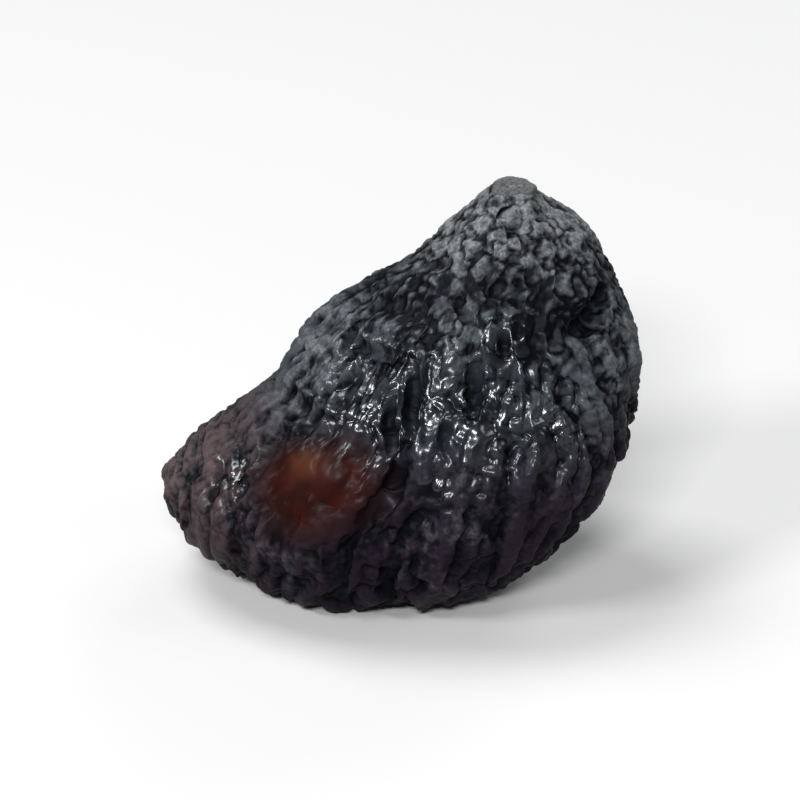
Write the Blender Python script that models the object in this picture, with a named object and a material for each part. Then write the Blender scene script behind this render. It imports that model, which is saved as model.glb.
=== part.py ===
"""A dried black fig, resting on its pressed underside with its neck bent up.

A dried fig is one body: skin, flesh, neck, stem stub and eye grew together. Its skin starts here as a cube
rounded into a ball. The ball is stretched over measured sections, pressed into lumps, dents and folds, and
then wrinkled by ribs that run from the neck to the eye.
"""

import math

import bmesh
import bpy
import numpy as np

MM = 0.001

# Sections of the body, evenly spaced over the skin from the middle of the underside to the cut stem.
# Each gives a height, and how far left, right, front and back the skin reaches there, in millimetres.
SECTIONS_MM = (
    (-0.4, -2.6, -2.6, -0.2, -0.2),
    (-0.4, -5.8, 0.9, -2.9, 2.6),
    (-0.2, -9.4, 4.4, -5.8, 5.3),
    (0.8, -13.0, 7.6, -8.7, 8.0),
    (3.7, -15.5, 10.6, -10.8, 9.8),
    (7.0, -16.1, 13.2, -11.4, 10.2),
    (10.4, -13.6, 15.0, -11.0, 9.8),
    (13.6, -10.2, 15.3, -9.8, 9.2),
    (16.5, -7.4, 15.0, -8.2, 8.4),
    (19.3, -4.2, 14.3, -6.4, 7.5),
    (22.0, -0.8, 13.1, -4.3, 6.4),
    (24.8, 2.3, 11.2, -2.2, 5.0),
    (26.9, 4.7, 8.6, -0.3, 3.5),
    (27.4, 6.7, 6.7, 1.6, 1.6),
)
# How square the sections are: 2 is an ellipse.
SQUARENESS = 2.15
# Cells along each edge of the cube that becomes the skin, and how many triangles are kept in the end.
SKIN_CELLS = 72
MOST_TRIANGLES = 10500

# Where things lie on the skin: an azimuth in degrees (0 right, 90 back, 180 left, 270 front) and a level
# from 0, the middle of the underside, to 1, the cut stem.
EYE = (150, 0.22)
CALM_PATCH = (245, 0.48)
CALM_RADIUS = 3.2 * MM
STEM = (0, 1.0)
STEM_LEVEL = 0.90
# Below this level the ribs grow flatter towards the middle of the underside, where they lose this share.
PRESSED_LEVEL = 0.17
PRESSED_SMOOTH = 0.9

# Broad lumps (positive) and dents (negative): place, radius and height.
LUMPS = (
    ((188, 0.36), 5.0 * MM, 0.7 * MM),
    ((215, 0.61), 3.6 * MM, -0.5 * MM),
    ((262, 0.60), 5.0 * MM, 0.3 * MM),
    ((268, 0.86), 1.7 * MM, 0.45 * MM),
    ((300, 0.45), 6.0 * MM, 0.8 * MM),
    ((340, 0.67), 3.6 * MM, 0.6 * MM),
    ((25, 0.50), 5.0 * MM, 0.6 * MM),
    ((62, 0.58), 4.6 * MM, -1.3 * MM),
    ((95, 0.72), 3.6 * MM, 0.6 * MM),
    ((140, 0.50), 5.0 * MM, -1.2 * MM),
    ((165, 0.66), 3.6 * MM, 0.5 * MM),
    (CALM_PATCH, 2.8 * MM, 0.4 * MM),
    (EYE, 4.5 * MM, -0.9 * MM),
)
# Folds, each a path of places on the skin with a half width and a depth.
FOLDS = (
    (((338, 0.76), (324, 0.725), (308, 0.705), (292, 0.70)), 0.75 * MM, 1.3 * MM),
    (((180, 0.55), (202, 0.56), (219, 0.555), (234, 0.54)), 0.9 * MM, 1.2 * MM),
    (((246, 0.825), (262, 0.79), (275, 0.783), (290, 0.81)), 0.55 * MM, 0.8 * MM),
    (((249, 0.908), (281, 0.874)), 0.4 * MM, 0.5 * MM),
    (((190, 0.70), (212, 0.735), (234, 0.744)), 0.7 * MM, 0.5 * MM),
    (((255, 0.52), (263, 0.47), (259, 0.425), (250, 0.40)), 0.6 * MM, 0.6 * MM),
    (((40, 0.74), (50, 0.60), (66, 0.46), (78, 0.34)), 0.8 * MM, 1.3 * MM),
    (((128, 0.78), (135, 0.62), (124, 0.46), (118, 0.38)), 0.7 * MM, 1.2 * MM),
    (((176, 0.62), (160, 0.50), (152, 0.38), (158, 0.28)), 0.8 * MM, 1.0 * MM),
    (((345, 0.58), (356, 0.46), (352, 0.34), (340, 0.26)), 0.7 * MM, 1.0 * MM),
    (((10, 0.66), (22, 0.55), (18, 0.42)), 0.6 * MM, 0.9 * MM),
)
# The stem is cut to a short stub with a flat end.
STUB_RADIUS = 1.7 * MM
STUB_HEIGHT = 0.4 * MM
# The eye is a dimple with a raised lip.
EYE_DIMPLE_RADIUS = 1.3 * MM
EYE_DIMPLE_DEPTH = 1.5 * MM
EYE_LIP_RADIUS = 2.9 * MM
EYE_LIP_WIDTH = 1.0 * MM
EYE_LIP_HEIGHT = 0.5 * MM

# Ribs of the skin: the distance between them, and how often one starts or ends on its way to the eye.
RIB_SPACING = 2.5 * MM
RIB_STARTS = 3.5
# How far the ribs wind around the fig on their way down, as if the neck had been turned.
RIB_TWIST = math.radians(75)
# The ribs come in patterns that repeat faster and faster around the fig, so that where the skin widens
# more of them fit in and they keep their spacing.
RIB_PATTERNS = (1.2, 2.0, 3.3, 5.4, 8.9, 14.6)
PATTERN_OVERLAP = 0.85
# How often a rib comes in the noise that makes the patterns, in the noise's own units, and how wide it is
# in the noise's values.
NOISE_RIB_SPACING = 1.2
NOISE_RIB_WIDTH = 0.20
RIB_DEPTH = 0.75 * MM
# How far ribs stray sideways, in the noise's units, and over what distance.
RIB_WANDER = 0.9
RIB_WANDER_SIZE = 5.0 * MM
# Gentle swells under the ribs: their size across and their height.
SWELL_SIZE = 9.0 * MM
SWELL_HEIGHT = 0.9 * MM

# Skin this close to the surface the fig rests on lies on it.
PRESSED_FLAT = 0.02 * MM
# The middle of the finished body's box, which is moved onto the origin.
BOX_MIDDLE = (-0.80 * MM, -0.75 * MM, 0.0)

SKIN_COLOUR = (0.020, 0.018, 0.022, 1.0)
SKIN_ROUGHNESS = 0.45


def clear_scene():
    for old in list(bpy.data.objects):
        bpy.data.objects.remove(old)


def through(rows, place):
    """The smooth curve through evenly spaced rows, read at each place from 0 to the last row."""
    before = 2 * rows[0] - rows[1]
    after = 2 * rows[-1] - rows[-2]
    padded = np.vstack([before, rows, after])
    start = np.clip(place.astype(int), 0, len(rows) - 2)
    t = (place - start)[:, None]
    a, b, c, d = (padded[start + step] for step in range(4))
    return 0.5 * (2 * b + (c - a) * t + (2 * a - 5 * b + 4 * c - d) * t**2 + (3 * b - a - 3 * c + d) * t**3)


def body_points(azimuth, level):
    """Points of the plain body at these azimuths, in radians, and levels, from 0 to 1."""
    sections = np.array(SECTIONS_MM) * MM
    height, left, right, front, back = through(sections, level * (len(sections) - 1)).T
    across, deep = np.cos(azimuth), np.sin(azimuth)
    power = 2 / SQUARENESS
    x = (left + right) / 2 + (right - left) / 2 * np.sign(across) * np.abs(across) ** power
    y = (front + back) / 2 + (back - front) / 2 * np.sign(deep) * np.abs(deep) ** power
    return np.column_stack([x, y, height])


def point_at(place):
    azimuth, level = place
    return body_points(np.radians([azimuth]), np.array([level]))[0]


def direction_at(place):
    """The direction in the ball that becomes this place."""
    azimuth, level = math.radians(place[0]), place[1]
    polar = math.pi * (1 - level)
    outward = math.sin(polar)
    return np.array([outward * math.cos(azimuth), outward * math.sin(azimuth), math.cos(polar)])


def ball_mesh(cells):
    """A cube of square cells, rounded into a ball so that the cells stay nearly even."""
    cube = bmesh.new()
    bmesh.ops.create_cube(cube, size=2)
    bmesh.ops.subdivide_edges(cube, edges=cube.edges[:], cuts=cells - 1, use_grid_fill=True)
    for vertex in cube.verts:
        for axis in range(3):
            vertex.co[axis] = math.tan(vertex.co[axis] * math.pi / 4)
        vertex.co.normalize()
    mesh = bpy.data.meshes.new("fig")
    cube.to_mesh(mesh)
    cube.free()
    return mesh


def coordinates(mesh):
    flat = np.empty(len(mesh.vertices) * 3, np.float32)
    mesh.vertices.foreach_get("co", flat)
    return flat.reshape(-1, 3).astype(float)


def set_coordinates(mesh, points):
    mesh.vertices.foreach_set("co", points.astype(np.float32).ravel())
    mesh.update()


def normals(mesh):
    flat = np.empty(len(mesh.vertices) * 3, np.float32)
    mesh.vertex_normals.foreach_get("vector", flat)
    return flat.reshape(-1, 3).astype(float)


def bell(distance, radius):
    return np.exp(-((distance / radius) ** 2))


def fold_share(points, places, width):
    """How deep each point lies in a fold: 1 in the middle of its path, fading to its sides and its ends."""
    stops = np.array([point_at(place) for place in places])
    lengths = np.linalg.norm(np.diff(stops, axis=0), axis=1)
    passed = np.concatenate([[0], np.cumsum(lengths)]) / lengths.sum()
    nearest = np.full(len(points), np.inf)
    progress = np.zeros(len(points))
    for leg, (start, end) in enumerate(zip(stops[:-1], stops[1:])):
        along = np.clip((points - start) @ (end - start) / lengths[leg] ** 2, 0, 1)
        gap = np.linalg.norm(points - start - along[:, None] * (end - start), axis=1)
        closer = gap < nearest
        nearest[closer] = gap[closer]
        progress[closer] = (passed[leg] + along * (passed[leg + 1] - passed[leg]))[closer]
    return bell(nearest, width) * np.sin(math.pi * np.clip(progress, 0.02, 0.98)) ** 0.7


def relief(points):
    """How far lumps, dents, folds and the eye move each point along its normal."""
    moved = np.zeros(len(points))
    for place, radius, height in LUMPS:
        moved += height * bell(np.linalg.norm(points - point_at(place), axis=1), radius)
    for places, width, depth in FOLDS:
        moved -= depth * fold_share(points, places, width)
    stem = np.linalg.norm(points - point_at(STEM), axis=1)
    moved += STUB_HEIGHT / (1 + (stem / STUB_RADIUS) ** 8)
    eye = np.linalg.norm(points - point_at(EYE), axis=1)
    moved -= EYE_DIMPLE_DEPTH * bell(eye, EYE_DIMPLE_RADIUS)
    moved += EYE_LIP_HEIGHT * bell(eye - EYE_LIP_RADIUS, EYE_LIP_WIDTH)
    return moved


def level_of(directions):
    return 1 - np.arccos(np.clip(directions[:, 2], -1, 1)) / math.pi


def untwisted(directions):
    """The directions, turned back around the neck so that a twisted rib becomes a straight one."""
    turn = RIB_TWIST * (1 - level_of(directions))
    x, y, z = directions.T
    return np.column_stack([x * np.cos(turn) + y * np.sin(turn), y * np.cos(turn) - x * np.sin(turn), z])


def meridians(directions):
    """The ribs' own coordinates: (cosine, sine) of the rib's bearing, and 0 at the neck to 1 at the eye.

    Seen flat from the eye, ribs are straight rays from the neck, so on the ball each one is an arc of a
    circle through both.
    """
    eye = untwisted(np.array([direction_at(EYE)]))[0]
    side = np.cross(eye, (0, 0, 1))
    side /= np.linalg.norm(side)
    up = np.cross(side, eye)

    def flat(d):
        return np.column_stack([d @ side, d @ up]) / np.maximum(1 - d @ eye, 1e-9)[:, None]

    ray = flat(untwisted(directions)) - flat(np.array([[0.0, 0.0, 1.0]]))
    reach = np.linalg.norm(ray, axis=1)
    bearing = ray / np.maximum(reach, 1e-9)[:, None]
    return np.column_stack([bearing, 2 / math.pi * np.arctan(reach / np.median(reach))])


def rib_patterns(mesh, points, ribs):
    """How many patterns up the list the ribs of each point come from, to keep their spacing."""
    ends = np.empty(len(mesh.edges) * 2, np.int32)
    mesh.edges.foreach_get("vertices", ends)
    one, other = ends.reshape(-1, 2).T
    length = np.linalg.norm(points[one] - points[other], axis=1)
    turn = ribs[one, 0] * ribs[other, 1] - ribs[one, 1] * ribs[other, 0]
    squared = (turn / length) ** 2
    rate = np.sqrt((np.bincount(one, squared) + np.bincount(other, squared)) / 2)
    wanted = NOISE_RIB_SPACING / (RIB_SPACING * np.maximum(rate, 1e-9))
    steps = np.log(np.array(RIB_PATTERNS))
    return np.interp(np.log(wanted), steps, np.arange(len(steps)))


def wrinkled_share(points, level):
    """1 where the skin wrinkles freely, and less on the calm patch, on the stem and where the fig rests."""
    calm = bell(np.linalg.norm(points - point_at(CALM_PATCH), axis=1), CALM_RADIUS)
    stem = np.clip(2 * (level - STEM_LEVEL) / (1 - STEM_LEVEL), 0, 1)
    pressed = 1 - np.clip(level / PRESSED_LEVEL, 0, 1)
    return (1 - calm) * (1 - stem) * (1 - PRESSED_SMOOTH * pressed)


def keep(mesh, name, kind, values):
    attribute = mesh.attributes.new(name, kind, "POINT")
    field = "vector" if kind == "FLOAT_VECTOR" else "value"
    attribute.data.foreach_set(field, values.astype(np.float32).ravel())


def body_mesh():
    mesh = ball_mesh(SKIN_CELLS)
    directions = coordinates(mesh)
    level = level_of(directions)
    plain = body_points(np.arctan2(directions[:, 1], directions[:, 0]), level)
    set_coordinates(mesh, plain)
    set_coordinates(mesh, plain + normals(mesh) * relief(plain)[:, None])
    ribs = meridians(directions)
    keep(mesh, "meridian", "FLOAT_VECTOR", ribs)
    keep(mesh, "pattern", "FLOAT", rib_patterns(mesh, plain, ribs))
    keep(mesh, "wrinkled", "FLOAT", wrinkled_share(plain, level))
    return mesh


def add(tree, kind, inputs=(), output=0, **settings):
    """A node with its settings and inputs, given as (socket, value or output). Returns one output."""
    made = tree.nodes.new(kind)
    for name, value in settings.items():
        setattr(made, name, value)
    for socket, value in inputs:
        if isinstance(value, bpy.types.NodeSocket):
            tree.links.new(value, made.inputs[socket])
        else:
            made.inputs[socket].default_value = value
    return made.outputs[output]


def maths(tree, operation, *values):
    return add(tree, "ShaderNodeMath", tuple(enumerate(values)), operation=operation)


def vectors(tree, operation, *values):
    return add(tree, "ShaderNodeVectorMath", tuple(enumerate(values)), operation=operation)


def noise(tree, vector, scale, detail=0.0, output="Fac"):
    inputs = (("Vector", vector), ("Scale", scale), ("Detail", detail))
    return add(tree, "ShaderNodeTexNoise", inputs, output, noise_dimensions="3D")


def named(tree, name, kind):
    return add(tree, "GeometryNodeInputNamedAttribute", (("Name", name),), data_type=kind)


def hump(tree, value, middle, width):
    """A smooth hump from 0 to 1 and back where the value passes its middle."""
    away = maths(tree, "DIVIDE", maths(tree, "SUBTRACT", value, middle), width)
    return maths(tree, "EXPONENT", maths(tree, "MULTIPLY", maths(tree, "MULTIPLY", away, away), -1.0))


def rib_pattern(tree, meridian, wander, pattern, number):
    """Ribs from 0 to 1 where noise, drawn out along the meridians, is near its middle value."""
    around = RIB_PATTERNS[number]
    stretched = vectors(tree, "MULTIPLY", meridian, (around, around, RIB_STARTS))
    placed = vectors(tree, "ADD", vectors(tree, "ADD", stretched, wander), (0.0, 0.0, 10.0 * number))
    crest = hump(tree, noise(tree, placed, 1.0, 1.0), 0.5, NOISE_RIB_WIDTH / 2)
    return maths(tree, "MULTIPLY", crest, hump(tree, pattern, float(number), PATTERN_OVERLAP))


def rib_tree():
    """A node tree that carves the ribs into the body and presses its underside flat."""
    tree = bpy.data.node_groups.new("fig ribs", "GeometryNodeTree")
    tree.interface.new_socket("Geometry", in_out="INPUT", socket_type="NodeSocketGeometry")
    tree.interface.new_socket("Geometry", in_out="OUTPUT", socket_type="NodeSocketGeometry")
    body = add(tree, "NodeGroupInput")
    position = add(tree, "GeometryNodeInputPosition")
    meridian = named(tree, "meridian", "FLOAT_VECTOR")
    wrinkled = named(tree, "wrinkled", "FLOAT")
    pattern = named(tree, "pattern", "FLOAT")

    drift = noise(tree, position, 1 / RIB_WANDER_SIZE, 1.0, "Color")
    drift = vectors(tree, "SUBTRACT", drift, (0.5, 0.5, 0.5))
    wander = vectors(tree, "MULTIPLY", drift, (RIB_WANDER, RIB_WANDER, RIB_WANDER))
    ribs = 0.0
    for number in range(len(RIB_PATTERNS)):
        ribs = maths(tree, "MAXIMUM", ribs, rib_pattern(tree, meridian, wander, pattern, number))
    carved = maths(tree, "MULTIPLY", maths(tree, "SUBTRACT", ribs, 1.0), RIB_DEPTH)
    depth = maths(tree, "MULTIPLY", carved, wrinkled)
    swell = maths(tree, "SUBTRACT", noise(tree, position, 1 / SWELL_SIZE, 1.0), 0.5)
    height = maths(tree, "ADD", depth, maths(tree, "MULTIPLY", swell, 2 * SWELL_HEIGHT))
    outward = add(tree, "GeometryNodeInputNormal")
    offset = add(tree, "ShaderNodeVectorMath", ((0, outward), ("Scale", height)), operation="SCALE")
    wrinkles = add(tree, "GeometryNodeSetPosition", (("Geometry", body), ("Offset", offset)))

    settled = vectors(tree, "MAXIMUM", position, (-1.0, -1.0, 0.0))
    rested = add(tree, "GeometryNodeSetPosition", (("Geometry", wrinkles), ("Position", settled)))
    tree.links.new(rested, tree.nodes.new("NodeGroupOutput").inputs[0])
    return tree


def skin_material():
    material = bpy.data.materials.new("dried skin")
    material.use_nodes = True
    shader = material.node_tree.nodes["Principled BSDF"]
    shader.inputs["Base Color"].default_value = SKIN_COLOUR
    shader.inputs["Roughness"].default_value = SKIN_ROUGHNESS
    shader.inputs["Metallic"].default_value = 0.0
    return material


def wrinkled_mesh(body):
    """The body's mesh with its ribs carved and its triangles thinned where the skin is smooth."""
    carve = body.modifiers.new("ribs", "NODES")
    carve.node_group = rib_tree()
    thin = body.modifiers.new("thin", "DECIMATE")
    thin.ratio = MOST_TRIANGLES / (2 * 6 * SKIN_CELLS**2)
    thin.use_collapse_triangulate = True
    evaluated = body.evaluated_get(bpy.context.evaluated_depsgraph_get())
    mesh = bpy.data.meshes.new_from_object(evaluated)
    body.modifiers.clear()
    return mesh


def make_fig():
    collection = bpy.data.collections.new("dried fig")
    bpy.context.scene.collection.children.link(collection)
    fig = bpy.data.objects.new("fig", body_mesh())
    collection.objects.link(fig)
    fig.data = wrinkled_mesh(fig)
    fig.data.materials.append(skin_material())
    points = coordinates(fig.data) - BOX_MIDDLE
    points[points[:, 2] < PRESSED_FLAT, 2] = 0.0
    set_coordinates(fig.data, points)
    fig.data.shade_smooth()
    return fig


clear_scene()
make_fig()
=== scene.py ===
# %% [markdown]
# # A dried black fig
# This lesson dresses one dried fig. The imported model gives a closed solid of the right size, and we grow a
# finer skin in its place. A dried fig has no parts to bolt on: it is one bag of skin that shrank around its
# flesh, so nearly all of its look is relief, and the colour only follows that relief.

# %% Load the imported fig
import math
from functools import reduce

import bmesh
import bpy
import numpy as np
from mathutils import Matrix, Vector
from mathutils.bvhtree import BVHTree


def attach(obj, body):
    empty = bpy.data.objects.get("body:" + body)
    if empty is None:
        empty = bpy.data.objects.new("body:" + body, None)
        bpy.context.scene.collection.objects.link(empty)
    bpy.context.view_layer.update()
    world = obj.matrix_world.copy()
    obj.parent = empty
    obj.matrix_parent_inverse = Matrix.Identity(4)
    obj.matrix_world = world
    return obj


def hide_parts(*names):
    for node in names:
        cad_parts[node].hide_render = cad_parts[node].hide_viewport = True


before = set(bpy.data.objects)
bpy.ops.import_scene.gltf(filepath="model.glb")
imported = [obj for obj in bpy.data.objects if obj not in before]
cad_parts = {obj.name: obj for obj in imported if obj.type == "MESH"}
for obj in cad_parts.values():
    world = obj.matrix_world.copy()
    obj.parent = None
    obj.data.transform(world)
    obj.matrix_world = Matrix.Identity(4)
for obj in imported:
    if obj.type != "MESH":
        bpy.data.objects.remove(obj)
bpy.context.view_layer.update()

# %% [markdown]
# ## The body under the wrinkles
# A fig hanging on its branch is a drop: a round belly, and a neck that runs into the stem. Drying and
# packing press it out of round. We could sculpt that by hand, but a loft is easier to correct against a
# photograph: a few sections up the body, each saying how far the skin reaches left, right, front and back.
# The skin between them is a smooth curve through the sections.

# %% Sections of the body
MM = 0.001
# Height, left, right, front and back of each section, in millimetres, from the underside to the cut stem.
SECTIONS_MM = (
    (-0.4, -2.6, -2.6, -0.2, -0.2),
    (-0.4, -5.8, 0.9, -2.9, 2.6),
    (-0.2, -9.4, 4.4, -5.8, 5.3),
    (0.8, -13.0, 7.6, -8.7, 8.0),
    (3.7, -15.5, 10.6, -10.8, 9.8),
    (7.0, -16.1, 13.2, -11.4, 10.2),
    (10.4, -13.6, 15.0, -11.0, 9.8),
    (13.6, -10.2, 15.3, -9.8, 9.2),
    (16.5, -7.4, 15.0, -8.2, 8.4),
    (19.3, -4.2, 14.3, -6.4, 7.5),
    (22.0, -0.8, 13.1, -4.3, 6.4),
    (24.8, 2.3, 11.2, -2.2, 5.0),
    (26.9, 4.7, 8.6, -0.3, 3.5),
    (27.4, 6.7, 6.7, 1.6, 1.6),
)
# How square the sections are: 2 is an ellipse.
SQUARENESS = 2.15
# The middle of the finished body's box, which is moved onto the origin.
BOX_MIDDLE = np.array((-0.80 * MM, -0.75 * MM, 0.0))
# A place on the fig is an azimuth in degrees, 270 being the front, and a level from underside to stem.
WIDEST = (180, 5 / 13)


def through(rows, place):
    """The smooth curve through evenly spaced rows, read at each place from 0 to the last row."""
    before = 2 * rows[0] - rows[1]
    after = 2 * rows[-1] - rows[-2]
    padded = np.vstack([before, rows, after])
    start = np.clip(place.astype(int), 0, len(rows) - 2)
    t = (place - start)[:, None]
    a, b, c, d = (padded[start + step] for step in range(4))
    return 0.5 * (2 * b + (c - a) * t + (2 * a - 5 * b + 4 * c - d) * t**2 + (3 * b - a - 3 * c + d) * t**3)


def body_points(azimuth, level):
    """Points of the plain body at these azimuths, in radians, and levels, from 0 to 1."""
    sections = np.array(SECTIONS_MM) * MM
    height, left, right, front, back = through(sections, level * (len(sections) - 1)).T
    across, deep = np.cos(azimuth), np.sin(azimuth)
    power = 2 / SQUARENESS
    x = (left + right) / 2 + (right - left) / 2 * np.sign(across) * np.abs(across) ** power
    y = (front + back) / 2 + (back - front) / 2 * np.sign(deep) * np.abs(deep) ** power
    return np.column_stack([x, y, height])


def point_at(place):
    """The point of the plain body at a place: an azimuth in degrees and a level."""
    azimuth, level = place
    return body_points(np.radians([azimuth]), np.array([level]))[0]


print("the belly is widest at", point_at(WIDEST) / MM, "mm")

# %% [markdown]
# ## A ball with even cells
# Every place on the skin gets the same care, so the mesh should have cells of one size all over. A globe of
# rings and segments crowds its poles. A cube whose faces are cut into squares and then blown up into a ball
# has no poles at all, so we start from one. The tangent spreads the squares evenly.

# %% The ball that becomes the skin
SKIN_CELLS = 126


def ball_mesh(cells):
    """A ball of even cells, with this many along each side of the cube it starts from."""
    cube = bmesh.new()
    bmesh.ops.create_cube(cube, size=2)
    bmesh.ops.subdivide_edges(cube, edges=cube.edges[:], cuts=cells - 1, use_grid_fill=True)
    for vertex in cube.verts:
        for axis in range(3):
            vertex.co[axis] = math.tan(vertex.co[axis] * math.pi / 4)
        vertex.co.normalize()
    mesh = bpy.data.meshes.new("fig_skin")
    cube.to_mesh(mesh)
    cube.free()
    return mesh


def read_vectors(rows, field):
    flat = np.empty(len(rows) * 3, np.float32)
    rows.foreach_get(field, flat)
    return flat.reshape(-1, 3).astype(float)


def coordinates(mesh):
    return read_vectors(mesh.vertices, "co")


def normals(mesh):
    return read_vectors(mesh.vertex_normals, "vector")


def set_coordinates(mesh, points):
    mesh.vertices.foreach_set("co", points.astype(np.float32).ravel())
    mesh.update()


def level_of(directions):
    """0 at the bottom of the ball, which rests, to 1 at its top, the stem."""
    return 1 - np.arccos(np.clip(directions[:, 2], -1, 1)) / math.pi


skin_mesh = ball_mesh(SKIN_CELLS)
directions = coordinates(skin_mesh)
level = level_of(directions)
plain = body_points(np.arctan2(directions[:, 1], directions[:, 0]), level)
set_coordinates(skin_mesh, plain)
print("skin cells:", len(skin_mesh.polygons))

# %% [markdown]
# ## Lumps, dents and folds
# Before it wrinkles, the fig sags: the cheek bulges on the left, the shoulder caves in behind it, and one
# deep fold bends round the right of the neck. These are one-offs, so they are placed one by one. A lump is a
# bell-shaped push along the surface's own direction, and a fold is the same push along a short path. A
# crease is a fold so narrow that it only shows as a dark line.

# %% Press the body into shape
EYE = (150, 0.22)
CALM_PATCH = (245, 0.48)
STEM = (0, 1.0)
# Each lump is a place with a radius and a height in millimetres. A dent has a height below zero.
LUMPS = (
    ((188, 0.36), 5.0, 0.7),
    ((215, 0.61), 3.6, -0.5),
    ((262, 0.60), 5.0, 0.3),
    ((268, 0.86), 1.7, 0.45),
    ((300, 0.45), 6.0, 0.8),
    ((340, 0.67), 3.6, 0.6),
    ((25, 0.50), 5.0, 0.6),
    ((62, 0.58), 4.6, -1.3),
    ((95, 0.72), 3.6, 0.6),
    ((140, 0.50), 5.0, -1.2),
    ((165, 0.66), 3.6, 0.5),
    (CALM_PATCH, 2.8, 0.4),
    ((237, 0.577), 1.8, 0.6),
    (EYE, 4.5, -0.9),
)
# Each fold is a path of places with a half width and a depth in millimetres.
FOLDS = (
    (((338, 0.76), (324, 0.725), (308, 0.705), (292, 0.70)), 0.65, 1.05),
    (((180, 0.55), (202, 0.56), (219, 0.555), (234, 0.54)), 0.9, 0.7),
    (((246, 0.825), (262, 0.79), (275, 0.783), (290, 0.81)), 0.55, 0.8),
    (((249, 0.908), (281, 0.874)), 0.4, 0.6),
    (((190, 0.70), (212, 0.735), (234, 0.744)), 0.7, 0.5),
    (((255, 0.52), (263, 0.47), (259, 0.425), (250, 0.40)), 0.45, 0.25),
    (((40, 0.74), (50, 0.60), (66, 0.46), (78, 0.34)), 0.8, 1.3),
    (((128, 0.78), (135, 0.62), (124, 0.46), (118, 0.38)), 0.7, 1.2),
    (((176, 0.62), (160, 0.50), (152, 0.38), (158, 0.28)), 0.8, 1.0),
    (((345, 0.58), (356, 0.46), (352, 0.34), (340, 0.26)), 0.7, 1.0),
    (((10, 0.66), (22, 0.55), (18, 0.42)), 0.6, 0.9),
)
# Creases that show as dark lines, given the same way.
CREASES = (
    (((205, 0.91), (249, 0.929)), 0.20, 0.30),
    (((197, 0.787), (215, 0.801), (228, 0.816)), 0.22, 0.30),
    (((240, 0.772), (250, 0.753), (259, 0.731)), 0.22, 0.35),
    (((208, 0.649), (203, 0.671), (204, 0.704)), 0.22, 0.35),
    (((203, 0.671), (219, 0.668), (233, 0.671)), 0.28, 0.60),
    (((243, 0.668), (250, 0.632), (254, 0.591), (257, 0.552)), 0.25, 0.90),
    (((267, 0.678), (269, 0.642), (272, 0.586)), 0.25, 0.90),
    (((273, 0.724), (276, 0.678)), 0.22, 0.45),
    (((244, 0.617), (248, 0.576), (256, 0.528)), 0.24, 0.75),
    (((266, 0.586), (267, 0.554), (270, 0.523)), 0.24, 0.75),
    (((250, 0.823), (265, 0.804), (278, 0.796), (291, 0.811)), 0.22, 0.40),
    (((319, 0.717), (328, 0.733), (342, 0.755)), 0.25, 0.40),
)
# A fold fades towards both ends of its path, and never quite to nothing.
FOLD_ENDS = (0.02, 0.98)
FOLD_FULLNESS = 0.7
STUB_RADIUS = 1.7 * MM
STUB_SQUARENESS = 8
STUB_HEIGHT = 0.4 * MM
STUB_HOLLOW_RADIUS = 1.3 * MM
STUB_HOLLOW_DEPTH = 0.3 * MM
EYE_DIMPLE_RADIUS = 1.3 * MM
EYE_DIMPLE_DEPTH = 1.5 * MM
EYE_LIP_RADIUS = 2.9 * MM
EYE_LIP_WIDTH = 1.0 * MM
EYE_LIP_HEIGHT = 0.5 * MM


def bell(distance, radius):
    """1 at distance 0, fading to 0 past the radius."""
    return np.exp(-((distance / radius) ** 2))


def nearness(points, place, radius):
    """1 at a place, fading to 0 past the radius."""
    return bell(np.linalg.norm(points - point_at(place), axis=1), radius)


def fold_share(points, places, width):
    """How deep each point lies in a fold: 1 in the middle of its path, fading to its sides and its ends."""
    stops = np.array([point_at(place) for place in places])
    lengths = np.linalg.norm(np.diff(stops, axis=0), axis=1)
    passed = np.concatenate([[0], np.cumsum(lengths)]) / lengths.sum()
    nearest = np.full(len(points), np.inf)
    progress = np.zeros(len(points))
    for leg, (start, end) in enumerate(zip(stops[:-1], stops[1:])):
        along = np.clip((points - start) @ (end - start) / lengths[leg] ** 2, 0, 1)
        gap = np.linalg.norm(points - start - along[:, None] * (end - start), axis=1)
        closer = gap < nearest
        nearest[closer] = gap[closer]
        progress[closer] = (passed[leg] + along * (passed[leg + 1] - passed[leg]))[closer]
    return bell(nearest, width) * np.sin(math.pi * np.clip(progress, *FOLD_ENDS)) ** FOLD_FULLNESS


def relief(points):
    """How far each point is pushed out of the plain body."""
    moved = np.zeros(len(points))
    for place, radius, height in LUMPS:
        moved += height * MM * nearness(points, place, radius * MM)
    for places, width, depth in FOLDS + CREASES:
        moved -= depth * MM * fold_share(points, places, width * MM)
    stem = np.linalg.norm(points - point_at(STEM), axis=1)
    moved += STUB_HEIGHT / (1 + (stem / STUB_RADIUS) ** STUB_SQUARENESS)
    moved -= STUB_HOLLOW_DEPTH / (1 + (stem / STUB_HOLLOW_RADIUS) ** STUB_SQUARENESS)
    eye = np.linalg.norm(points - point_at(EYE), axis=1)
    moved -= EYE_DIMPLE_DEPTH * bell(eye, EYE_DIMPLE_RADIUS)
    moved += EYE_LIP_HEIGHT * bell(eye - EYE_LIP_RADIUS, EYE_LIP_WIDTH)
    return moved


pressed = relief(plain)
set_coordinates(skin_mesh, plain + normals(skin_mesh) * pressed[:, None])
print("relief from", (pressed.min() / MM).round(2), "to", (pressed.max() / MM).round(2), "mm")

# %% [markdown]
# ## Which way the ribs run
# The veins under a fig's skin run from the stem to the eye, and as the flesh shrinks the skin gathers over
# them in ribs. So each point needs three things: the bearing of its rib, how far it is from stem to eye,
# and how finely the pattern has to repeat there for ribs to keep their spacing. Looked at flat from the
# eye, ribs are straight rays from the stem, which gives every bearing with one projection. The neck dried
# with a turn in it, so we untwist the ball first.

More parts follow.
